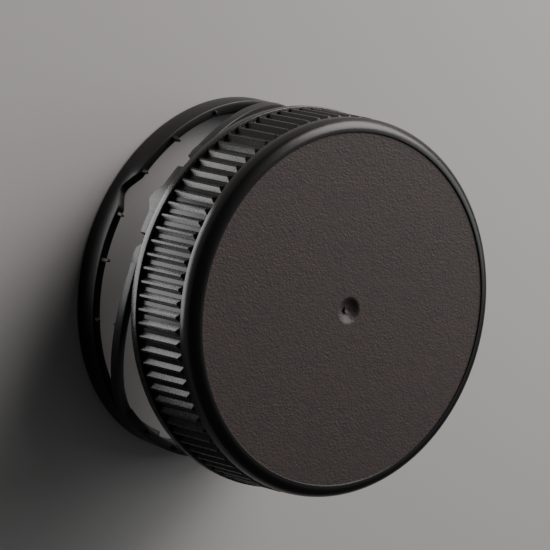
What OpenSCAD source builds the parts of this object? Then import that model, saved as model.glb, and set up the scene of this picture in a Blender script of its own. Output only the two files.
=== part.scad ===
// Tethered tamper-evident screw cap, opened and swung up off its band.
// Shell, hinge tab, two straps and band are one black moulding.
// +Z runs along the band's axis towards the closed top, and the hinge tab faces -Y.
// The origin is the centre of the band's lower edge. Angles are counted from the tab.

/* [Shell] */
// Radius over the grip ribs at the rim
grip_r = 19.9; // [17.9:0.5:21.9]
// Height from the lower edge to the lip round the face
shell_h = 9.57; // [8.5:0.1:14]
// Height that the grip ribs stand off the skirt
rib_h = 0.4; // [0.3:0.05:0.6]
// Angle by which the ribs and the skirt between them draw in towards the top
draft = 3; // [0:0.5:4]
// Number of grip ribs
rib_count = 90; // [60:2:100]
// Angle by which the nearest rib lies beside the tab's middle
rib_phase = 1; // [0:0.25:3]
// Width of a rib's narrow crest
rib_crest = 0.2; // [0.1:0.05:0.35]
// Width of the flat floor between two ribs
rib_floor = 0.42; // [0.3:0.02:0.5]
// How much lower a rib's crest ends than its foot, at the top
rib_slant = 0.3; // [0.1:0.05:0.5]
// How far the ribs end below the plain ring
rib_gap = 0.25; // [0.1:0.05:0.5]
// Height of the smooth rim ring under the ribs
rim_h = 1.0; // [0.6:0.1:1.6]
// How far the rim ring stands outside the rib crests
rim_step = 0.2; // [0.05:0.05:0.3]
// How far the plain ring over the ribs lies inside the crests at the rim
ring_inset = 0.45; // [0.3:0.05:0.6]
// Height of the plain ring, up to where the shoulder rounds off
ring_h = 0.47; // [0.3:0.01:0.8]
// Radius of the round shoulder
shoulder_r = 1.35; // [0.8:0.05:2]
// Width of the flat lip between shoulder and face
lip_w = 0.1; // [0.05:0.05:0.5]
// How deep the matt face lies below the lip
face_step = 0.12; // [0.05:0.01:0.3]
// Thickness of the closed top
top_t = 1.5; // [1.2:0.1:2]
// Thickness of the skirt behind the plain ring
wall_t = 1.2; // [1.1:0.05:1.6]

/* [Gate mark] */
// Radius of the dimple at the centre of the face
dimple_r = 1.2; // [0.8:0.1:2]
// Depth of the dimple
dimple_d = 0.45; // [0.2:0.05:0.7]
// Radius of the nub left by the gate
nub_r = 0.32; // [0.2:0.02:0.5]
// Height of the nub above the dimple's lowest point
nub_h = 0.3; // [0.1:0.05:0.4]

/* [Thread and seals] */
// Number of thread starts
thread_starts = 3; // [1:1:4]
// Height that the thread stands inwards from the skirt
thread_h = 0.85; // [0.5:0.05:1.1]
// Width of the thread at its root
thread_w = 1.7; // [1.2:0.1:2.2]
// Width of the thread's flat crest
thread_crest = 0.5; // [0.3:0.05:0.7]
// Rise of one thread in a full turn
thread_lead = 9; // [6:0.5:10]
// Angle that each thread runs round the skirt
thread_turn = 132; // [90:6:168]
// Height of a thread's lower end above the skirt's edge
thread_z = 1.6; // [1.2:0.1:2]
// Outer radius of the plug seal at its bead
plug_r = 16.3; // [15:0.1:16.6]
// Thickness of the plug seal
plug_t = 0.9; // [0.6:0.1:1.2]
// Length of the plug seal below the top
plug_h = 2.9; // [2.2:0.1:4]
// How far the plug seal's bead stands out
plug_bead = 0.45; // [0.2:0.05:0.5]
// Height of the small outer lip seal
lip_seal_h = 0.9; // [0.5:0.1:1.4]

/* [Band] */
// How far the band, straps and tab lie inside the rib crests
band_inset = 0.05; // [0.05:0.05:0.3]
// Thickness of the band, straps and tab
band_t = 1.0; // [0.7:0.05:1.1]
// Height of the band where it runs under the straps
band_h = 2.6; // [2.2:0.1:3.5]
// Radius of the band's outer lower edge
band_round = 0.25; // [0.1:0.05:0.4]
// Number of retaining lugs inside the band
lug_count = 10; // [6:2:14]
// Angle that each lug spans
lug_angle = 19; // [10:1:22]
// How far the lugs reach inwards
lug_depth = 0.6; // [0.4:0.05:1]
// Height of a lug from its lower to its upper foot
lug_h = 1.4; // [1:0.1:1.9]

/* [Tether] */
// Angle by which the shell is swung back over the tab
open_angle = 10.8; // [0:0.1:14]
// Height of the shell's lower edge above the band's upper edge, on the axis
rise = 11.2; // [9:0.1:14]
// How far the shell sits sideways of the band
shell_shift = 0.4; // [0:0.1:1]
// Width of the moulded slit between shell and strap
slit = 0.25; // [0.15:0.05:0.4]
// Width of a strap
strap_w = 1.1; // [0.9:0.05:1.5]
// Angle of a strap root's near side
root_a = 14.5; // [13:0.5:16]
// Angle that a strap root spans on the rim
root_span = 6; // [4:0.5:8]
// Radius of the strap root's lower corner
root_round = 1.4; // [0.5:0.1:1.5]
// Angle at which a strap runs into the band
joint_a = 75; // [66:1:80]
// How gently a strap leaves the rim
bend_in = 1.45; // [1.1:0.05:2]
// How gently a strap arrives at the band
bend_out = 1.4; // [1:0.05:1.6]
// Angle by which a strap's upper edge leans inwards along its middle
strap_lean = 8; // [0:1:16]

/* [Hinge tab] */
// Width of the tab
tab_w = 7.8; // [6.5:0.1:8.4]
// Height of the tab below the rim
tab_h = 1.35; // [1:0.05:1.8]
// Width of the tab's locking tooth at its root
tooth_w = 3.0; // [2.4:0.1:3.6]
// Length of the locking tooth
tooth_h = 1.1; // [0.8:0.1:1.6]
// Radius of the tooth's tip
tooth_tip = 0.85; // [0.5:0.05:0.95]
// Clearance beside the tooth in its notch in the band
notch_gap = 0.45; // [0.2:0.05:0.7]

/* [Broken bridges] */
// Number of bridges along the wide part of the band
back_bridges = 14; // [8:1:18]
// Angle of the first of them
back_from = 86.5; // [84:0.5:92]
// Width of a broken bridge stub
stub_w = 0.5; // [0.3:0.05:0.8]
// Height of the stubs on the band
stub_h = 0.7; // [0.4:0.1:1]
// Height of the torn halves left on the straps
strap_stub_h = 0.35; // [0.2:0.05:0.6]

/* [Hidden] */
$fn = 180;

plastic = "#1d1b1c";
embed = 0.3;                         // how deep an added form is rooted in its neighbour
past = 1;                            // how far a cut runs past what it cuts
floor_r = grip_r - rib_h;            // skirt between the ribs, at the rim
rim_r = grip_r + rim_step;
rim_edge = 0.12;                     // chamfer under the rim ring
mouth_w = 0.4;                       // lead-in at the mouth
mouth_h = 0.6;
ring_r = grip_r - ring_inset;
wall_r = ring_r - wall_t;            // inner wall, root of the thread
face_r = ring_r - shoulder_r - lip_w;
face_z = shell_h - face_step;
ring_z = shell_h - shoulder_r - ring_h;
rib_top = ring_z - rib_gap;          // upper end of a rib's foot
roof_z = face_z - top_t;             // underside of the closed top
plug_edge = 0.4;                     // chamfer at the plug seal's tip
lip_seal_gap = 0.75;                 // between the wall and the lip seal's tip
lip_seal_root = 0.35;                // how far the lip seal widens at its root
lip_seal_tip = 0.15;                 // thickness of its tip
band_r = grip_r - band_inset;
band_in = band_r - band_t;
band_mid = band_r - band_t / 2;
lug_z = 0.15;                        // lower foot of the lugs
lug_crest = [0.7, 0.8];              // share of a lug's height at which its crest lies
sink = 0.03;                         // how far a strap's faces lie inside those of its roots
root_h = slit + strap_w + sink;      // depth of a strap's root below the rim
wide_h = band_h + strap_w;           // band height beyond the strap joints
strap_t = band_t - 2 * sink;
tip_gap = 0.15;                      // under the tooth's tip in the notch
strap_steps = 40;
bridge_at = [7.7, 22.5, 41];         // angles of the bridges under the straps
bridge_left = [1, 1.6, 0.6];         // how tall the stub of each is, in stub heights
strap_a = root_a + root_span / 2;    // where a strap's centre line starts
thread_steps = 22;

// Places in space

// The shell's own frame: its lower edge is z = 0 and its face looks along +z
module at_shell() {
    translate([shell_shift, 0, band_h]) rotate([open_angle, 0, 0]) translate([0, 0, rise]) children();
}

// Runs a drawing outwards along the radius at angle a: x goes round the cap and y goes up
module radial(a, r, depth) {
    rotate([0, 0, a]) translate([0, -r, 0]) rotate([90, 0, 0]) linear_extrude(depth) children();
}

function ring_point(a, r, z) = [r * sin(a), -r * cos(a), z];
function on_band(a, r, z) = ring_point(a, r, z);
function on_shell(a, r, z) =
    let (p = ring_point(a, r, z + rise))
    [p.x + shell_shift,
     p.y * cos(open_angle) - p.z * sin(open_angle),
     p.y * sin(open_angle) + p.z * cos(open_angle) + band_h];
function unit(v) = v / norm(v);

// Closed skin over a row of rings that all have the same number of points
// A ring runs clockwise for someone who looks along the row
module sweep(rings) {
    m = len(rings[0]);
    last = len(rings) - 1;
    sides = [for (i = [0:last - 1], j = [0:m - 1], half = [0, 1])
        let (a = i * m + j, b = i * m + (j + 1) % m)
        half == 0 ? [a, a + m, b] : [b, a + m, b + m]];
    polyhedron([for (r = rings, p = r) p],
        concat(sides, [[for (j = [0:m - 1]) j]], [[for (j = [m - 1:-1:0]) last * m + j]]));
}

// Straps

// How far a strap has come from the shell (0) to the band (1), at the share s of its length
function come(s) = s <= 0 ? 0 : s >= 1 ? 1 : 1 - pow(1 - pow(s, bend_in), bend_out);

// Point at radius r on the strap's centre line, and the frame that carries its section
function strap_point(side, s, r) =
    let (a = side * (strap_a + (joint_a - strap_a) * s), k = come(s))
    (1 - k) * on_shell(a, r, -slit - strap_w / 2) + k * on_band(a, r, band_h + strap_w / 2 - sink);
function strap_frame(side, s) =
    let (p = strap_point(side, s, band_mid),
         step = 0.005,
         along = unit(strap_point(side, s + step, band_mid) - strap_point(side, s - step, band_mid)),
         raw = strap_point(side, s, band_r) - p,
         flat = unit(raw - (raw * along) * along),
         lean = strap_lean * max(0, 1 - pow(2 * s - 1, 4)),
         out = flat * cos(lean) + side * cross(flat, along) * sin(lean))
    [p, along, out, cross(along, out)];
function strap_ring(side, s) =
    let (f = strap_frame(side, s), n = f[2] * strap_t / 2, b = f[3] * strap_w / 2)
    [f[0] + n + b, f[0] - n + b, f[0] - n - b, f[0] + n - b];

// The ends run past both joints, inside the root on the rim and inside the wide band
module strap(side) {
    from = -0.03;
    to = 1.05;
    sweep([for (i = [0:strap_steps]) strap_ring(side, from + (to - from) * i / strap_steps)]);
}

// Torn half of the bridge at angle a, which hangs from the strap's lower edge
module strap_stub(side, a) {
    f = strap_frame(side, (a - strap_a) / (joint_a - strap_a));
    deep = strap_t / 2 - sink;
    multmatrix([for (i = [0:2]) [-side * f[1][i], side * f[3][i], f[2][i], f[0][i]]])
        translate([0, 0, -deep]) linear_extrude(2 * deep) translate([0, strap_w / 2])
            polygon([[-stub_w / 2, -embed], [stub_w / 2, -embed],
                     [stub_w / 4, strap_stub_h], [-stub_w / 4, strap_stub_h / 2]]);
}

// Block that carries a strap on the rim, with its lower corner next to the tab rounded off
module strap_root(side) {
    reach = band_mid * root_span * PI / 180;
    at_shell() intersection() {
        tether_wall();
        radial(side * root_a, 0, grip_r + past) mirror([side > 0 ? 0 : 1, 0]) difference() {
            translate([0, -root_h]) square([reach, root_h + embed]);
            translate([0, -root_h]) difference() {
                translate([-past, -past]) square(root_round + past);
                translate([root_round, root_round]) circle(root_round);
            }
        }
    }
}

// Stretch of tube under the rim that the tab and the strap roots are cut from
module tether_wall() {
    deep = tab_h + tooth_h + root_h;
    translate([0, 0, -deep]) difference() {
        cylinder(r = band_r, h = deep + embed);
        translate([0, 0, -past]) cylinder(r = band_in, h = deep + embed + 2 * past);
    }
}

// Hinge tab

// Tooth that hangs from y = 0, with straight flanks that run into a round tip
module tooth_shape(half, depth, tip) {
    c = [0, tip - depth];
    flank = [half, 0] - c;
    end = atan2(flank.y, flank.x) - acos(tip / norm(flank)); // where a flank touches the tip
    steps = 12;
    tip_arc = [for (i = [0:steps])
        let (a = 180 - end + (180 + 2 * end) * i / steps) c + tip * [cos(a), sin(a)]];
    polygon(concat([[half, 0], [half, embed], [-half, embed], [-half, 0]], tip_arc));
}

module tab() {
    at_shell() intersection() {
        tether_wall();
        radial(0, 0, grip_r + past) {
            translate([-tab_w / 2, -tab_h]) square([tab_w, tab_h + embed]);
            translate([0, -tab_h]) tooth_shape(tooth_w / 2, tooth_h, tooth_tip);
        }
    }
}

// Shell

// Radius, at the height z, of a drafted face that leaves the rim ring at radius r
function drawn_in(r, z) = r - (z - rim_h) * tan(draft);

// Section of the skirt, top and shoulder, filled to the axis
module shell_outline() {
    round_z = shell_h - shoulder_r;
    polygon([[0, 0], [rim_r - rim_edge, 0], [rim_r, rim_edge], [rim_r, rim_h], [floor_r, rim_h],
             [drawn_in(floor_r, rib_top), rib_top], [ring_r, ring_z], [ring_r, round_z], [0, round_z]]);
    square([ring_r - shoulder_r, shell_h]);
    translate([ring_r - shoulder_r, round_z]) circle(shoulder_r);
}

// Sealing ring that plugs the neck's bore, with a bead near its tip
module plug_outline() {
    outer = plug_r - plug_bead;
    inner = outer - plug_t;
    tip = roof_z - plug_h;
    polygon([[inner, roof_z + embed], [inner, tip + plug_edge], [inner + plug_edge, tip],
             [outer - plug_edge / 4, tip], [outer, tip + plug_edge], [outer, roof_z + embed]]);
    translate([outer - embed / 2, tip + plug_bead + plug_edge]) circle(plug_bead + embed / 2);
}

// Small lip that presses on the neck's outer corner
module lip_seal_outline() {
    r = wall_r - lip_seal_gap;
    polygon([[r - lip_seal_root, roof_z + embed], [r, roof_z - lip_seal_h],
             [r + lip_seal_tip, roof_z - lip_seal_h], [r + lip_seal_root, roof_z + embed]]);
}

module shell_section() {
    difference() {
        shell_outline();
        square([wall_r, roof_z]);
        polygon([[0, -past], [wall_r + mouth_w, -past], [wall_r + mouth_w, 0],
                 [wall_r, mouth_h], [0, mouth_h]]);
        translate([0, face_z]) square([face_r, face_step + past]);
    }
    plug_outline();
    lip_seal_outline();
}

// Section of a rib, outwards along -y from y = 0 on its narrow crest to its root in the wall
module rib_shape() {
    pitch = 2 * PI * floor_r / rib_count;
    deep = rib_h + embed / 2;
    crest = rib_crest / 2;
    foot = crest + ((pitch - rib_floor) / 2 - crest) * deep / rib_h;
    polygon([[-foot, deep], [-crest, 0], [crest, 0], [foot, deep]]);
}

module ribs() {
    slope = rib_slant / rib_h;
    foot_r = drawn_in(floor_r, rib_top);
    out = rim_r + past;
    intersection() {
        for (i = [0:rib_count - 1])
            rotate([0, 0, rib_phase + i * 360 / rib_count]) translate([0, -grip_r, rim_h])
                rotate([-draft, 0, 0]) translate([0, 0, -embed / 2])
                    linear_extrude(rib_top - rim_h + embed) rib_shape();
        // the upper ends lean back towards the plain ring
        rotate_extrude() polygon([[0, 0], [out, 0], [out, rib_top - slope * (out - foot_r)],
            [foot_r - embed, rib_top + slope * embed], [0, rib_top + slope * embed]]);
    }
}

// One thread: a rounded-off ridge that rises round the inside and fades into the wall at both ends
module thread(start) {
    root = wall_r + embed;
    function fade(s) = min(1, 6 * s, 6 * (1 - s));
    function section(s) =
        let (a = start + thread_turn * s, z = thread_z + thread_lead * thread_turn * s / 360,
             top = wall_r + embed / 2 - (thread_h + embed / 2) * fade(s))
        [ring_point(a, root, z - thread_w / 2), ring_point(a, top, z - thread_crest / 2),
         ring_point(a, top, z + thread_crest / 2), ring_point(a, root, z + thread_w / 2)];
    sweep([for (i = [0:thread_steps]) section(i / thread_steps)]);
}

module dimple() {
    ball = (dimple_r * dimple_r + dimple_d * dimple_d) / (2 * dimple_d);
    translate([0, 0, face_z - dimple_d + ball]) sphere(ball);
}

module nub() {
    foot = nub_r + embed / 3;
    translate([0, 0, face_z - dimple_d - embed]) cylinder(r1 = foot, r2 = nub_r, h = nub_h + embed);
}

module shell() {
    at_shell() {
        difference() {
            union() {
                rotate_extrude() shell_section();
                ribs();
            }
            dimple();
        }
        nub();
        for (i = [0:thread_starts - 1]) thread(i * 360 / thread_starts);
    }
}

// Band

// Stub of a bridge that tore when the cap was first opened
module stub(a, z, tall) {
    radial(a, band_in + embed / 2, band_t - embed) translate([0, z])
        polygon([[-stub_w / 2, -embed], [stub_w / 2, -embed], [stub_w / 2, tall * 0.4],
                 [stub_w * 0.2, tall], [-stub_w * 0.3, tall * 0.8], [-stub_w / 2, tall * 0.3]]);
}

module lug(a) {
    root = band_in + embed;
    crest = band_in - lug_depth;
    rotate([0, 0, a - 90 - lug_angle / 2]) rotate_extrude(angle = lug_angle) translate([0, lug_z])
        polygon([[root, 0], [root, lug_h], [band_in, lug_h], [crest, lug_h * lug_crest[1]],
                 [crest, lug_h * lug_crest[0]], [band_in, 0]]);
}

// Closed ring with its wide stretch at the back, before the notch is cut
module band_ring() {
    difference() {
        rotate_extrude() difference() {
            translate([band_in, 0]) square([band_t, wide_h]);
            translate([band_r, 0]) difference() {
                square(2 * band_round, center = true);
                translate([-band_round, band_round]) circle(band_round);
            }
        }
        // room for the straps on both sides of the tab
        rotate([0, 0, -90 - joint_a]) rotate_extrude(angle = 2 * joint_a)
            translate([band_in - past, band_h]) square([band_t + 2 * past, wide_h]);
    }
}

module band() {
    notch_d = tooth_h + tab_h - strap_w - 2 * slit + tip_gap;
    difference() {
        band_ring();
        // notch that the tab's tooth drops into
        radial(0, band_in - past, band_t + 2 * past) translate([0, band_h])
            tooth_shape(tooth_w / 2 + notch_gap, notch_d, tooth_tip + notch_gap);
    }
    for (i = [0:lug_count - 1]) lug((i + 0.5) * 360 / lug_count);
    for (side = [-1, 1], i = [0:2]) stub(side * bridge_at[i], band_h, stub_h * bridge_left[i]);
    pitch = (360 - 2 * back_from) / (back_bridges - 1);
    for (i = [0:back_bridges - 1]) stub(back_from + i * pitch, wide_h, stub_h);
}

module closure() {
    color(plastic) {
        shell();
        tab();
        for (side = [-1, 1]) {
            strap_root(side);
            strap(side);
            strap_stub(side, bridge_at[2]);
        }
        band();
    }
}

closure();
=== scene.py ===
from math import acos, asin, atan2, cos, degrees, pi, radians, sin, sqrt, tan, tau

import bmesh
import bpy
from mathutils import Matrix, Vector, noise


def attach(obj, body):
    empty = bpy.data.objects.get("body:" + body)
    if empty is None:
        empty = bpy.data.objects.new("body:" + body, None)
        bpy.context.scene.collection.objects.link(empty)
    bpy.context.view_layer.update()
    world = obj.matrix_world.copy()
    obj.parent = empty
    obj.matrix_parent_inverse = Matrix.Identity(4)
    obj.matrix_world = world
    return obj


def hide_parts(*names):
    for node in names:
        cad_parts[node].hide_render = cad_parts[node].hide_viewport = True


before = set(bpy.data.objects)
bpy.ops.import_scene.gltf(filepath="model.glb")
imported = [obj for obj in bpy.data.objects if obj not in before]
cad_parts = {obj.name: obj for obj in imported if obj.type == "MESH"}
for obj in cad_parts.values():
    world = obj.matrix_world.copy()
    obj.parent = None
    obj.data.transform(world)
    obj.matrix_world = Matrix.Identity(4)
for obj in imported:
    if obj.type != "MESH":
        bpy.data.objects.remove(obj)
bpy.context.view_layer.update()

# Shell body
# The turned form of the cap: a closed top with a gate dimple, a round polished shoulder, the smooth
# rim ring, and inside the plug seal and lip seal. It is moulded in black high-density polyethylene,
# and its face is spark-eroded in the mould, so it comes out matt with a fine leathery grain.
MM = 0.001                  # sizes are in millimetres, and the shell's heights start at its rim
SHELL_H = 9.57
FACE_R = 18.0               # the flat face, recessed inside a narrow lip
FACE_Z = 9.45
LIP_LEAN = 0.02
DIMPLE_R = 1.25
DIMPLE_D = 0.58
DIMPLE_BREAK = 0.1          # how far its broken edge reaches over the face
DISH_STEPS = 8
RING_R = 19.45              # the plain ring above the ribs
RING_Z = 7.75
RIB_TOP = 7.5
FLOOR_R = 19.5              # the skirt between the ribs, at the rim
DRAFT = radians(3)
RIM_R = 20.1
RIM_H = 1.0
FOOT_R = FLOOR_R - (RIB_TOP - RIM_H) * tan(DRAFT)
WALL_R = 18.25              # the skirt's inner wall, with a lead-in at its mouth
LEAD_IN = 0.4
LEAD_IN_H = 0.6
ROOF_Z = 7.95
SEAL_ROOT_OUT = 17.85       # the lip seal, a small wedge under the roof
SEAL_TIP_OUT = 17.65
SEAL_TIP_IN = 17.5
SEAL_ROOT_IN = 17.15
SEAL_TIP_Z = 7.05
PLUG_OUT = 15.85            # the plug seal, a ring with a bead near its tip
PLUG_IN = 14.95
PLUG_WAIST_Z = 6.7
PLUG_BEAD_R = 16.3
PLUG_BEAD_Z = 5.9
PLUG_TIP = 5.05
PLUG_TAPER = 0.1
PLUG_CHAMFER = 0.4
POINT = (0, 1)              # roundings: radius and number of segments
CRISP = (0.04, 2)
FINE = (0.05, 2)
SOFT = (0.1, 2)
FILLET = (0.3, 3)
DIMPLE_EDGE = (0.12, 4)
LIP_EDGE = (0.03, 2)
SHOULDER = (1.35, 14)
RIM_EDGE = (0.12, 3)
RIM_FOOT = (0.13, 3)
BEAD_ROUND = (0.4, 4)
MERGE = 1e-5
SHARP = radians(50)         # edges that turn by more than this keep their crease
OPEN_ANGLE = 10.8           # the shell leans back from the tab, high above the band
RISE = 11.2
SHELL_SHIFT = 0.4
BAND_H = 2.6
AT_SHELL = (Matrix.Translation((SHELL_SHIFT, 0, BAND_H))
            @ Matrix.Rotation(radians(OPEN_ANGLE), 4, "X")
            @ Matrix.Translation((0, 0, RISE)))


class Value:
    """A shader socket that Python's operators work on."""

    def __init__(self, finish, socket):
        self.finish = finish
        self.socket = socket

    def math(self, operation, a, b):
        return self.finish.node("ShaderNodeMath", {"operation": operation}, {0: a, 1: b})

    def __add__(self, other):
        return self.math("ADD", self, other)

    def __radd__(self, other):
        return self.math("ADD", other, self)

    def __mul__(self, other):
        return self.math("MULTIPLY", self, other)

    def __rmul__(self, other):
        return self.math("MULTIPLY", other, self)

    def step(self, low, high):
        """0 below low, 1 above high, smooth between them."""
        return self.finish.node("ShaderNodeMapRange", {"interpolation_type": "SMOOTHSTEP"},
                                {"Value": self, "From Min": low, "From Max": high})


class Finish:
    """One procedural material on Object coordinates, built node by node."""

    def __init__(self, name):
        self.material = bpy.data.materials.new(name)
        self.material.use_nodes = True
        self.tree = self.material.node_tree
        self.tree.nodes.clear()
        place = self.node("ShaderNodeTexCoord", {}, {}, "Object")
        self.place = self.node("ShaderNodeMapping", {}, {"Vector": place, "Rotation": (0.6, 0.4, 0.9)})

    def node(self, kind, settings, sockets, output=0):
        """Any node: its settings are set first, then a value or a link for each socket."""
        made = self.tree.nodes.new(kind)
        for name, value in settings.items():
            setattr(made, name, value)
        for name, value in sockets.items():
            if isinstance(value, Value):
                self.tree.links.new(value.socket, made.inputs[name])
            else:
                made.inputs[name].default_value = value
        return Value(self, made.outputs[output]) if made.outputs else None

    def noise(self, size, detail=2.0, rough=0.5, distort=0.0):
        """Noise whose features measure about size millimetres."""
        return self.node("ShaderNodeTexNoise", {},
                         {"Vector": self.place, "Scale": 1 / (size * MM), "Detail": detail,
                          "Roughness": rough, "Distortion": distort}, "Fac")

    def bump(self, height, depth):
        """Normal of a surface that rises by depth millimetres where height is 1."""
        return self.node("ShaderNodeBump", {}, {"Strength": 1.0, "Distance": depth * MM, "Height": height})

    def blend(self, share, a, b):
        """Colour a where share is 0 and b where it is 1."""
        return self.node("ShaderNodeMix", {"data_type": "RGBA"}, {0: share, 6: a, 7: b}, 2)

    def done(self, **sockets):
        """The material, with one Principled shader whose sockets are given by name."""
        named = {name.replace("_", " "): value for name, value in sockets.items()}
        shader = self.node("ShaderNodeBsdfPrincipled", {}, named)
        self.node("ShaderNodeOutputMaterial", {}, {"Surface": shader})
        return self.material


def piece(name, bm, *materials, place=Matrix.Identity(4)):
    """A piece of the cap from a mesh that was built in millimetres."""
    bmesh.ops.transform(bm, matrix=Matrix.Scale(MM, 4) @ place, verts=bm.verts)
    for edge in bm.edges:
        edge.smooth = edge.calc_face_angle(0) < SHARP
    mesh = bpy.data.meshes.new(name)
    bm.to_mesh(mesh)
    bm.free()
    for polygon in mesh.polygons:
        polygon.use_smooth = True
    for material in materials:
        mesh.materials.append(material)
    obj = bpy.data.objects.new(name, mesh)
    bpy.context.scene.collection.objects.link(obj)
    even = obj.modifiers.new("even_normals", "WEIGHTED_NORMAL")
    even.keep_sharp = True
    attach(obj, "root")
    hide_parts("closure")


def turned(corners, steps=360, closed=False):
    """Body of revolution: corners are (radius, height, rounding, segments)."""
    bm = bmesh.new()
    chain = [bm.verts.new((r, 0, z)) for r, z, *_ in corners]
    for a, b in zip(chain, chain[1:] + chain[:1] if closed else chain[1:]):
        bm.edges.new((a, b))
    for vert, (_, _, rounding, segments) in zip(chain, corners):
        if rounding:
            bmesh.ops.bevel(bm, geom=[vert], affect="VERTICES", offset=rounding, segments=segments,
                            profile=0.5, material=-1)
    bmesh.ops.spin(bm, geom=bm.verts[:] + bm.edges[:], cent=(0, 0, 0), axis=(0, 0, 1),
                   angle=tau, steps=steps, use_merge=True)
    bmesh.ops.remove_doubles(bm, verts=bm.verts, dist=MERGE)
    bmesh.ops.recalc_face_normals(bm, faces=bm.faces)
    return bm


def face_finish():
    """Matt brownish black with a fine leathery grain, deeper in some places than in others."""
    f = Finish("spark_eroded_face")
    grain = f.noise(0.33, detail=1, distort=0.8)
    speck = f.noise(0.2, detail=0)
    cloud = f.noise(7)
    tint = f.noise(0.9, detail=3, rough=0.6)
    colour = f.blend(tint.step(0.35, 0.65), (0.038, 0.030, 0.0285, 1), (0.049, 0.0345, 0.0295, 1))
    relief = (grain * 0.6 + speck * 0.4) * (0.5 + cloud)
    return f.done(Base_Color=colour, Roughness=0.5 + 0.1 * speck + 0.05 * cloud,
                  Normal=f.bump(relief, depth=0.062), IOR=1.5)


def gloss_finish():
    """Polished black with a faint ripple and haze."""
    f = Finish("polished_shoulder")
    ripple = f.noise(2.2)
    haze = f.noise(0.25, detail=3, rough=0.65)
    return f.done(Base_Color=(0.006, 0.0055, 0.0055, 1), Roughness=0.26 + 0.1 * haze,
                  Normal=f.bump(ripple * 0.7 + haze * 0.1, depth=0.012), IOR=1.45)


def satin_finish():
    """Satin black with flow marks and small pits."""
    f = Finish("satin_ribs")
    flow = f.noise(0.5, detail=3, rough=0.6)
    pits = f.noise(0.12, rough=0.6)
    colour = f.blend(flow.step(0.3, 0.7), (0.006, 0.0057, 0.0054, 1), (0.013, 0.012, 0.0113, 1))
    return f.done(Base_Color=colour, Roughness=0.2 + 0.14 * flow,
                  Normal=f.bump(flow * 0.35 + pits * 0.65, depth=0.026), IOR=1.5)


matt = face_finish()
gloss = gloss_finish()
satin = satin_finish()

dish_r = (DIMPLE_R ** 2 + DIMPLE_D ** 2) / (2 * DIMPLE_D)
dish_turns = [asin(DIMPLE_R / dish_r) * i / DISH_STEPS for i in range(DISH_STEPS)]
dish = [(dish_r * sin(t), FACE_Z - DIMPLE_D + dish_r * (1 - cos(t)), *POINT) for t in dish_turns]
body = turned(dish + [
    (DIMPLE_R + DIMPLE_BREAK, FACE_Z, *DIMPLE_EDGE),
    (FACE_R, FACE_Z, *CRISP),
    (FACE_R + LIP_LEAN, SHELL_H, *LIP_EDGE),
    (RING_R, SHELL_H, *SHOULDER),
    (RING_R, RING_Z, *CRISP),
    (FOOT_R, RIB_TOP, *CRISP),
    (FLOOR_R, RIM_H, *SOFT),
    (RIM_R, RIM_H, *RIM_EDGE),
    (RIM_R, 0, *RIM_FOOT),
    (WALL_R + LEAD_IN, 0, *SOFT),
    (WALL_R, LEAD_IN_H, *SOFT),
    (WALL_R, ROOF_Z, *FILLET),
    (SEAL_ROOT_OUT, ROOF_Z, *FINE),
    (SEAL_TIP_OUT, SEAL_TIP_Z, *FINE),
    (SEAL_TIP_IN, SEAL_TIP_Z, *FINE),
    (SEAL_ROOT_IN, ROOF_Z, *SOFT),
    (PLUG_OUT, ROOF_Z, *FILLET),
    (PLUG_OUT, PLUG_WAIST_Z, *FILLET),
    (PLUG_BEAD_R, PLUG_BEAD_Z, *BEAD_ROUND),
    (PLUG_OUT - PLUG_TAPER, PLUG_TIP, *SOFT),
    (PLUG_IN + PLUG_CHAMFER, PLUG_TIP, *SOFT),
    (PLUG_IN, PLUG_TIP + PLUG_CHAMFER, *SOFT),
    (PLUG_IN, ROOF_Z, *FILLET),
    (0, ROOF_Z, *POINT),
])
face_end = FACE_R - 0.01
face_under = ROOF_Z + 0.5
rim_end = RIM_H + 0.1
for face in body.faces:
    centre = face.calc_center_median()
    if centre.z > face_under and centre.xy.length < face_end:
        face.material_index = 0
    elif centre.z > rim_end and centre.xy.length > face_end:
        face.material_index = 1
    else:
        face.material_index = 2
piece("shell", body, matt, gloss, satin, place=AT_SHELL)

# Gate nub
# The short stump left in the dimple where the plastic's inlet, the hot gate, was torn off. It is
# part of the same moulding, a little ragged on top, with a small crater where it let go.
NUB_R = 0.32
NUB_H = 0.3
NUB_FLARE = 0.1
NUB_SUNK = 0.3
NUB_WALL = 0.12
NUB_CRATER = 0.08
NUB_EDGE = 0.04


def creases(bm, turn):
    """Edges whose two faces turn by more than turn radians."""
    return [edge for edge in bm.edges if edge.calc_face_angle(0) > turn]


def round_edges(bm, edges, radius, clamp=False):
    bmesh.ops.bevel(bm, geom=edges, affect="EDGES", offset=radius, segments=2, profile=0.5,
                    material=-1, clamp_overlap=clamp)


nub = bmesh.new()
bmesh.ops.create_cone(nub, cap_ends=True, segments=24, radius1=NUB_R + NUB_FLARE, radius2=NUB_R,
                      depth=NUB_H + NUB_SUNK,
                      matrix=Matrix.Translation((0, 0, FACE_Z - DIMPLE_D + (NUB_H - NUB_SUNK) / 2)))
nub_top = [face for face in nub.faces if face.normal.z > 0.9]
bmesh.ops.inset_region(nub, faces=nub_top, thickness=NUB_WALL, use_even_offset=True)
bmesh.ops.translate(nub, verts=nub_top[0].verts, vec=(0, 0, -NUB_CRATER))
round_edges(nub, creases(nub, 0.5), NUB_EDGE)
piece("gate_nub", nub, matt, place=AT_SHELL)

# Grip ribs
# Ninety ribs round the skirt, each with a narrow crest, straight flanks and an upper end that leans
# back to the shoulder. They are cut straight into the mould, so their edges are crisp and satin.
GRIP_R = 19.9
RIB_COUNT = 90
RIB_PHASE = 1.0
RIB_CREST = 0.2
RIB_FLOOR = 0.42            # width of the skirt between two ribs
RIB_SLANT = 0.3             # how much lower the upper end is at the crest
RIB_SUNK = 0.15
RIB_SPARE = 1               # length that the slanted cut takes off
RIB_EDGE = 0.035


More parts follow.
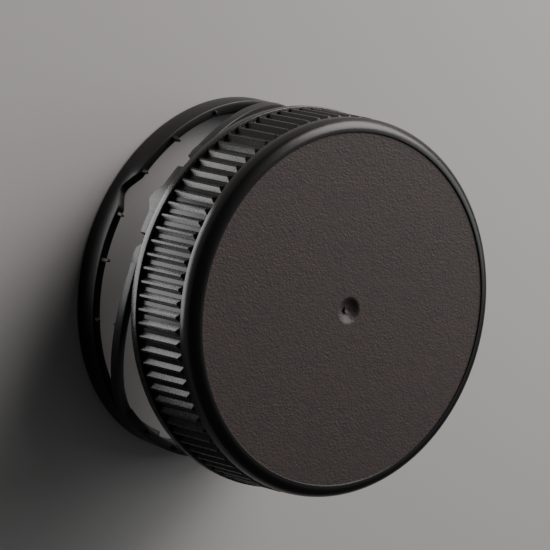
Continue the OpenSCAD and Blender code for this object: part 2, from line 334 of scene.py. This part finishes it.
def whole(bm):
    return bm.verts[:] + bm.edges[:] + bm.faces[:]


def only(kind, geometry):
    """The verts, edges or faces in what an operator returned."""
    return [item for item in geometry if isinstance(item, kind)]


def turn_round(bm, verts, angle):
    """Verts turned about the cap's axis by an angle in radians."""
    bmesh.ops.rotate(bm, verts=verts, cent=(0, 0, 0), matrix=Matrix.Rotation(angle, 3, "Z"))


def copy_round(bm, count):
    """The whole mesh repeated, so that count of it stand evenly about the cap's axis."""
    bmesh.ops.spin(bm, geom=whole(bm), cent=(0, 0, 0), axis=(0, 0, 1),
                   angle=tau * (count - 1) / count, steps=count - 1, use_duplicate=True)


def one_rib():
    """A drafted rib on -Y, rooted in the skirt and bevelled along its free edges."""
    height = GRIP_R - FLOOR_R
    foot_half = pi * FLOOR_R / RIB_COUNT - RIB_FLOOR / 2
    deep_half = foot_half + (foot_half - RIB_CREST / 2) * RIB_SUNK / height
    deep_r = FLOOR_R - RIB_SUNK
    section = ((-deep_half, deep_r), (-RIB_CREST / 2, GRIP_R), (RIB_CREST / 2, GRIP_R), (deep_half, deep_r))
    bm = bmesh.new()
    foot = bm.faces.new([bm.verts.new((x, -r, RIM_H - RIB_SUNK)) for x, r in section])
    top = bmesh.ops.extrude_face_region(bm, geom=[foot])
    bmesh.ops.translate(bm, verts=only(bmesh.types.BMVert, top["geom"]),
                        vec=(0, 0, RIB_TOP + RIB_SPARE - RIM_H))
    bmesh.ops.rotate(bm, verts=bm.verts, cent=(0, -GRIP_R, RIM_H), matrix=Matrix.Rotation(-DRAFT, 3, "X"))
    cut = bmesh.ops.bisect_plane(bm, geom=whole(bm), clear_outer=True, plane_co=(0, -FOOT_R, RIB_TOP),
                                 plane_no=(0, -RIB_SLANT / height, 1))
    bmesh.ops.contextual_create(bm, geom=only(bmesh.types.BMEdge, cut["geom_cut"]))
    bmesh.ops.recalc_face_normals(bm, faces=bm.faces)

    def is_free(at):
        skirt_r = FLOOR_R - (at.z - RIM_H) * tan(DRAFT)
        return -at.y > skirt_r + 0.01 and at.z > RIM_H

    round_edges(bm, [e for e in bm.edges if any(is_free(v.co) for v in e.verts)], RIB_EDGE)
    return bm


ribs = one_rib()
turn_round(ribs, ribs.verts, radians(RIB_PHASE))
copy_round(ribs, RIB_COUNT)
piece("grip_ribs", ribs, satin, place=AT_SHELL)

# Thread
# Three ridges that rise round the inside of the skirt and fade into it at both ends, so that the
# cap can be stripped off its mould core. They are moulded in one with the skirt.
STARTS = 3
THREAD_H = 0.85
THREAD_W = 1.7
THREAD_CREST = 0.5
THREAD_Z = 1.6
THREAD_SUNK = 0.3
THREAD_FADED = 0.15         # how deep the crest lies in the skirt at a ridge's ends
THREAD_ROUND = 0.15
THREAD_STEPS = 66
LEAD = 9.0
TURN = 132
FADES = 6                   # each end fades over a sixth of the ridge
ridge = ((WALL_R + THREAD_SUNK, -THREAD_W / 2), (WALL_R - THREAD_H, -THREAD_CREST / 2),
         (WALL_R - THREAD_H, THREAD_CREST / 2), (WALL_R + THREAD_SUNK, THREAD_W / 2))
thread = bmesh.new()
chain = [thread.verts.new((0, -r, THREAD_Z + z)) for r, z in ridge]
thread.faces.new(chain)
bmesh.ops.bevel(thread, geom=chain[1:3], affect="VERTICES", offset=THREAD_ROUND, segments=3,
                profile=0.5, material=-1)
bmesh.ops.spin(thread, geom=whole(thread), cent=(0, 0, 0), axis=(0, 0, 1),
               dvec=(0, 0, LEAD * TURN / 360 / THREAD_STEPS), angle=radians(TURN), steps=THREAD_STEPS)
faded_r = WALL_R + THREAD_FADED
for v in thread.verts:
    share = degrees(atan2(v.co.x, -v.co.y)) % 360 / TURN
    fade = min(1, max(0, FADES * share), max(0, FADES * (1 - share)))
    r = v.co.xy.length
    if r < WALL_R:
        v.co.xy *= (faded_r - (faded_r - r) * fade) / r
copy_round(thread, STARTS)
bmesh.ops.recalc_face_normals(thread, faces=thread.faces)
piece("thread", thread, satin, place=AT_SHELL)

# Hinge tab and strap roots
# A flat tab hangs from the rim, with a round-tipped tooth that drops into the band's notch and
# holds the cap open. On each side of it a root block with one rounded corner carries a strap.
# Tab and blocks are moulded in one with the rim, in the same plain black polyethylene.
BAND_R = 19.85
BAND_IN = 18.85
BAND_MID = (BAND_R + BAND_IN) / 2
SLIT = 0.25                 # gap between shell, straps and band before the cap is opened
STRAP_W = 1.1
SINK = 0.03
TAB_W = 7.8
TAB_H = 1.35
TOOTH_W = 3.0
TOOTH_H = 1.1
TOOTH_TIP = 0.85
ROOT_A = 14.5               # angle from the tab to the block, then the angle that it spans
ROOT_SPAN = 6
ROOT_ROUND = 1.4
ROOT_STEPS = 8
ROOT_H = SLIT + STRAP_W + SINK
EMBED = 0.3
PLATE_STEP = 0.3
PLATE_EDGE = 0.07
SIDES = ((1, "right"), (-1, "left"))


def dark_finish():
    """Plain black, a little uneven."""
    f = Finish("plain_moulding")
    flow = f.noise(0.8, detail=3, rough=0.6)
    return f.done(Base_Color=(0.009, 0.009, 0.009, 1), Roughness=0.34 + 0.14 * flow,
                  Normal=f.bump(flow, depth=0.012), IOR=1.45)


def bent_plate(outline, turn=0.0):
    """A flat outline (x across, z up) cut from the band's own wall at the angle turn from the tab."""
    left = min(x for x, _ in outline)
    right = max(x for x, _ in outline)
    count = round((right - left) / PLATE_STEP)
    bm = bmesh.new()
    bm.faces.new([bm.verts.new((x, 0, z)) for x, z in outline])
    for i in range(1, count):
        bmesh.ops.bisect_plane(bm, geom=whole(bm), plane_co=(left + (right - left) * i / count, 0, 0),
                               plane_no=(1, 0, 0))
    outer = bm.verts[:]
    back = bmesh.ops.extrude_face_region(bm, geom=bm.faces[:])
    inner = only(bmesh.types.BMVert, back["geom"])
    for verts, r in ((outer, BAND_R), (inner, BAND_IN)):
        for v in verts:
            v.co.y = -sqrt(r * r - v.co.x ** 2)
    bmesh.ops.recalc_face_normals(bm, faces=bm.faces)
    round_edges(bm, creases(bm, 0.7), PLATE_EDGE, clamp=True)
    turn_round(bm, bm.verts, radians(turn))
    return bm


def tooth_outline(half, depth, tip, steps=14):
    """Points of a tooth that hangs from z = 0, from its right flank round the tip to the left."""
    flank = Vector((half, depth - tip))
    end = atan2(flank.y, flank.x) - acos(tip / flank.length)
    turns = [end - (pi + 2 * end) * i / steps for i in range(steps + 1)]
    return [(tip * cos(t), tip - depth + tip * sin(t)) for t in turns]


dark = dark_finish()
tooth = [(x, z - TAB_H) for x, z in tooth_outline(TOOTH_W / 2, TOOTH_H, TOOTH_TIP)]
tab = ([(TAB_W / 2, EMBED), (TAB_W / 2, -TAB_H), (TOOTH_W / 2, -TAB_H)] + tooth
       + [(-TOOTH_W / 2, -TAB_H), (-TAB_W / 2, -TAB_H), (-TAB_W / 2, EMBED)])
piece("hinge_tab", bent_plate(tab), dark, place=AT_SHELL)

reach = BAND_MID * radians(ROOT_SPAN)
corner_turns = [pi / 2 * i / ROOT_STEPS for i in range(ROOT_STEPS + 1)]
corner = [(ROOT_ROUND * (1 - cos(t)), -ROOT_H + ROOT_ROUND * (1 - sin(t))) for t in corner_turns]
block = [(0, EMBED)] + corner + [(reach, -ROOT_H), (reach, EMBED)]
for side, name in SIDES:
    plate = bent_plate([(side * x, z) for x, z in block], turn=side * ROOT_A)
    piece("strap_root_" + name, plate, dark, place=AT_SHELL)

# Tether straps
# Two thin strips of the band's own wall run from their roots on the rim down and round into the
# band, all of one black moulding. On each stands half of a torn bridge that held it to the band.
STRAP_T = BAND_R - BAND_IN - 2 * SINK
STRAP_A = ROOT_A + ROOT_SPAN / 2
JOINT_A = 75                # angle from the tab at which a strap becomes band
BEND_IN = 1.45
BEND_OUT = 1.4
STRAP_LEAN = 8
STRAP_ROUND = 0.14
NEXT_TO = 0.005             # share of the way over which a strap's direction is taken
BRIDGE_AT = (7.7, 22.5, 41)
TORN_SIZE = (0.5, 0.55, 0.65)
TORN_TAPER = (0.5, 0.7, 1)
TORN_LIFT = 0.05
TORN_EDGE = 0.06


def on_band(turn, r, z):
    return Vector((r * sin(radians(turn)), -r * cos(radians(turn)), z))


def strap_point(side, s, r):
    """Point at radius r on a strap's centre line, at the share s of its way from shell to band."""
    turn = side * (STRAP_A + (JOINT_A - STRAP_A) * s)
    near = min(max(s, 0), 1)
    come = 1 - (1 - near ** BEND_IN) ** BEND_OUT
    high = AT_SHELL @ on_band(turn, r, -SLIT - STRAP_W / 2)
    return high.lerp(on_band(turn, r, BAND_H + STRAP_W / 2 - SINK), come)


def strap_frame(side, s):
    """Matrix whose x runs along the strap, y outwards and z across it."""
    at = strap_point(side, s, BAND_MID)
    along = strap_point(side, s + NEXT_TO, BAND_MID) - strap_point(side, s - NEXT_TO, BAND_MID)
    along = along.normalized()
    out = strap_point(side, s, BAND_R) - at
    out = (out - out.dot(along) * along).normalized()
    lean = side * radians(STRAP_LEAN) * max(0, 1 - (2 * s - 1) ** 4)
    out = out * cos(lean) + out.cross(along) * sin(lean)
    return Matrix.Translation(at) @ Matrix((along, out, along.cross(out))).transposed().to_4x4()


def strap(side, steps=80, start=-0.03, stop=1.05):
    """A strap's rounded section, extruded step by step from inside its root into the band."""
    bm = bmesh.new()
    corners = [bm.verts.new((0, y * STRAP_T / 2, z * STRAP_W / 2))
               for y, z in ((-1, -1), (1, -1), (1, 1), (-1, 1))]
    bm.faces.new(corners)
    bmesh.ops.bevel(bm, geom=corners, affect="VERTICES", offset=STRAP_ROUND, segments=3, profile=0.5,
                    material=-1)
    here = strap_frame(side, start)
    bmesh.ops.transform(bm, matrix=here, verts=bm.verts)
    ring = bm.edges[:]
    for i in range(1, steps + 1):
        there = strap_frame(side, start + (stop - start) * i / steps)
        made = bmesh.ops.extrude_edge_only(bm, edges=ring)["geom"]
        bmesh.ops.transform(bm, matrix=there @ here.inverted(), verts=only(bmesh.types.BMVert, made))
        ring = only(bmesh.types.BMEdge, made)
        here = there
    bmesh.ops.contextual_create(bm, geom=ring)
    bmesh.ops.recalc_face_normals(bm, faces=bm.faces)
    return bm


torn_share = (BRIDGE_AT[2] - STRAP_A) / (JOINT_A - STRAP_A)
for side, name in SIDES:
    piece("strap_" + name, strap(side), dark)
    torn = bmesh.new()
    bmesh.ops.create_cube(torn, size=1, matrix=Matrix.Diagonal((*TORN_SIZE, 1)))
    bmesh.ops.scale(torn, verts=[v for v in torn.verts if v.co.z > 0], vec=TORN_TAPER)
    round_edges(torn, torn.edges[:], TORN_EDGE)
    flip = Matrix.Rotation(pi if side < 0 else 0, 4, "X")
    to_edge = Matrix.Translation((0, 0, STRAP_W / 2 + TORN_LIFT))
    piece("torn_half_" + name, torn, dark, place=strap_frame(side, torn_share) @ flip @ to_edge)

# Band
# The split ring that stays behind when the cap is first opened: low where it runs under the straps,
# high at the back, with a notch for the tab's tooth. It is moulded in one with the straps, in the
# same plain black polyethylene.
WIDE_H = BAND_H + STRAP_W
NOTCH_GAP = 0.45
TIP_GAP = 0.15
BAND_FOOT = (0.25, 4)
BAND_EDGE = (0.09, 2)
band = turned([(BAND_IN, 0, *SOFT), (BAND_R, 0, *BAND_FOOT), (BAND_R, BAND_H, *BAND_EDGE),
               (BAND_IN, BAND_H, *BAND_EDGE)], steps=720, closed=True)
notch_half = TOOTH_W / 2 + NOTCH_GAP
notch_d = TOOTH_H + TAB_H - STRAP_W - 2 * SLIT + TIP_GAP
notch = [(notch_half, 0)] + tooth_outline(notch_half, notch_d, TOOTH_TIP + NOTCH_GAP) + [(-notch_half, 0)]


def band_top(at):
    """Height of the band's upper edge over a point."""
    turn = degrees(atan2(at.x, -at.y))
    if abs(turn) > JOINT_A:
        return WIDE_H
    if at.y > 0 or abs(at.x) >= notch_half:
        return BAND_H
    for (x1, z1), (x2, z2) in zip(notch, notch[1:]):
        if x2 <= at.x <= x1 and x1 > x2:
            return BAND_H + z1 + (z2 - z1) * (x1 - at.x) / (x1 - x2)
    return BAND_H


for v in band.verts:
    if v.co.z > BAND_H / 2:
        v.co.z += band_top(v.co) - BAND_H
piece("band", band, dark)

# Retaining lugs
# Ten wedges on the band's inner wall, moulded in one with it. Their long lower slope lets the band
# snap on when the cap is first pressed home, and their short upper slope holds it down.
LUGS = 10
LUG_TURN = 19
LUG_DEPTH = 0.6
LUG_H = 1.4
LUG_Z = 0.15
LUG_SUNK = 0.3
LUG_CREST = (0.7, 0.8)      # shares of its height between which it stands out full
LUG_STEPS = 14
LUG_EDGE = 0.06
wedge = ((BAND_IN + LUG_SUNK, 0), (BAND_IN + LUG_SUNK, LUG_H), (BAND_IN, LUG_H),
         (BAND_IN - LUG_DEPTH, LUG_H * LUG_CREST[1]), (BAND_IN - LUG_DEPTH, LUG_H * LUG_CREST[0]),
         (BAND_IN, 0))
lug = bmesh.new()
lug.faces.new([lug.verts.new((0, -r, LUG_Z + z)) for r, z in wedge])
turn_round(lug, lug.verts, pi / LUGS - radians(LUG_TURN / 2))
bmesh.ops.spin(lug, geom=whole(lug), cent=(0, 0, 0), axis=(0, 0, 1), angle=radians(LUG_TURN), steps=LUG_STEPS)
bmesh.ops.recalc_face_normals(lug, faces=lug.faces)
round_edges(lug, creases(lug, 0.5), LUG_EDGE)
copy_round(lug, LUGS)
piece("retaining_lugs", lug, dark)

# Broken bridges
# Fine webs of the moulding joined the band to the shell until the first opening. What is left of
# each is a ragged stub, pulled out and bent over to one side.
BRIDGE_LEFT = (1, 1.6, 0.6)  # share of its height left of each front stub, then of a back stub
BACK_LEFT = 0.85
BACK_BRIDGES = 14
BACK_FROM = 86.5
STUB_W = 0.5
STUB_T = 0.6
STUB_H = 0.7
STUB_SUNK = 0.3
STUB_TAPER = (0.55, 0.6, 1)
STUB_PULL = (0.3, 0.1, 0.25)
STUB_TEAR = 0.15
STUB_EDGE = 0.07
places = [(side * turn, BAND_H, left) for side in (-1, 1) for turn, left in zip(BRIDGE_AT, BRIDGE_LEFT)]
pitch = (360 - 2 * BACK_FROM) / (BACK_BRIDGES - 1)
places += [(BACK_FROM + i * pitch, WIDE_H, BACK_LEFT) for i in range(BACK_BRIDGES)]
stubs = bmesh.new()
for i, (turn, foot, left) in enumerate(places):
    tall = STUB_H * left
    made = bmesh.ops.create_cube(stubs, size=1)["verts"]
    bmesh.ops.scale(stubs, verts=made, vec=(STUB_W, STUB_T, tall + STUB_SUNK))
    tip = [v for v in made if v.co.z > 0]
    bmesh.ops.scale(stubs, verts=tip, vec=STUB_TAPER)
    lean = noise.noise(Vector((i * 1.7, 0.3, 0.9)))
    bmesh.ops.translate(stubs, verts=tip, vec=[pull * lean for pull in STUB_PULL])
    bmesh.ops.translate(stubs, verts=tip[:2], vec=(0, 0, -STUB_TEAR))
    bmesh.ops.translate(stubs, verts=made, vec=(0, -BAND_MID, foot + (tall - STUB_SUNK) / 2))
    turn_round(stubs, made, radians(turn))
round_edges(stubs, stubs.edges[:], STUB_EDGE)
piece("bridge_stubs", stubs, dark)

# Stage, light and camera
# A plain pale floor, a camera where the photo was taken from, and soft lights: the key light on the
# left, a weaker one behind, a faint fill above, and a low glow that brightens the ribs by the tab.
FLOOR_REACH = 3.0           # metres
FLOOR_DROP = 0.02
floor_mesh = bmesh.new()
bmesh.ops.create_grid(floor_mesh, x_segments=1, y_segments=1, size=FLOOR_REACH)
bmesh.ops.translate(floor_mesh, verts=floor_mesh.verts, vec=(0, 0, -FLOOR_DROP * MM))
floor_data = bpy.data.meshes.new("floor")
floor_mesh.to_mesh(floor_data)
floor_mesh.free()
floor_data.materials.append(Finish("pale_floor").done(Base_Color=(0.46, 0.46, 0.457, 1), Roughness=0.8))
floor = bpy.data.objects.new("floor", floor_data)
bpy.context.scene.collection.objects.link(floor)

CAM_AT = Vector((43.22, -148.66, 148.08)) * MM
CAM_RIGHT = Vector((-0.47284, 0.52423, 0.70824))
CAM_DOWN = Vector((0.85425, 0.46981, 0.22257))
CAM_INTO = Vector((-0.21606, 0.71026, -0.66997))


def turned_to(x, y, z):
    """Matrix whose axes point along x, y and z."""
    return Matrix((x, y, z)).transposed().to_4x4()


def soft_light(name, at, facing, across, size, power, colour=(1, 1, 1)):
    """Area light at a place in millimetres that shines along facing; size[0] runs along across."""
    data = bpy.data.lights.new(name, "AREA")
    data.shape = "RECTANGLE"
    data.size = size[0]
    data.size_y = size[1]
    data.energy = power
    data.color = colour
    light = bpy.data.objects.new(name, data)
    back = -Vector(facing).normalized()
    along = Vector(across)
    along = (along - along.dot(back) * back).normalized()
    light.matrix_world = Matrix.Translation(Vector(at) * MM) @ turned_to(along, back.cross(along), back)
    bpy.context.scene.collection.objects.link(light)
    return light


CAP = Vector((0, -3, 14))   # the point in the cap that the lights are aimed at
leftward = Vector((-0.87, 0.05, 0.48)).normalized()
soft_light("key", at=CAP + 350 * leftward, facing=-leftward, across=CAM_INTO, size=(0.26, 0.26),
           power=1.75, colour=(1, 0.94, 0.92))
behind = Vector((-0.58, 0.56, 0.59)).normalized()
soft_light("back", at=CAP + 400 * behind, facing=-behind, across=CAM_INTO, size=(0.2, 0.16), power=0.25)
over = Vector((-0.15, 0.45, 0.87)).normalized()
soft_light("fill", at=CAP + 450 * over, facing=-over, across=CAM_RIGHT, size=(0.3, 0.3), power=0.08)
glow = soft_light("low_glow", at=(9, -26.2, 1), facing=(0, 0, 1), across=(1, 0, 0), size=(0.024, 0.0095),
                  power=0.0028)
glow.visible_camera = False

world = bpy.data.worlds.new("studio")
world.use_nodes = True
surround = world.node_tree.nodes["Background"]
surround.inputs["Color"].default_value = (0.5, 0.5, 0.5, 1)
surround.inputs["Strength"].default_value = 0.1
bpy.context.scene.world = world

camera_data = bpy.data.cameras.new("camera")
camera_data.sensor_width = 36
camera_data.lens = 126.97
camera_data.clip_start = 0.005
camera_data.clip_end = 20
camera = bpy.data.objects.new("camera", camera_data)
camera.matrix_world = Matrix.Translation(CAM_AT) @ turned_to(CAM_RIGHT, -CAM_DOWN, -CAM_INTO)
bpy.context.scene.collection.objects.link(camera)
bpy.context.scene.camera = camera
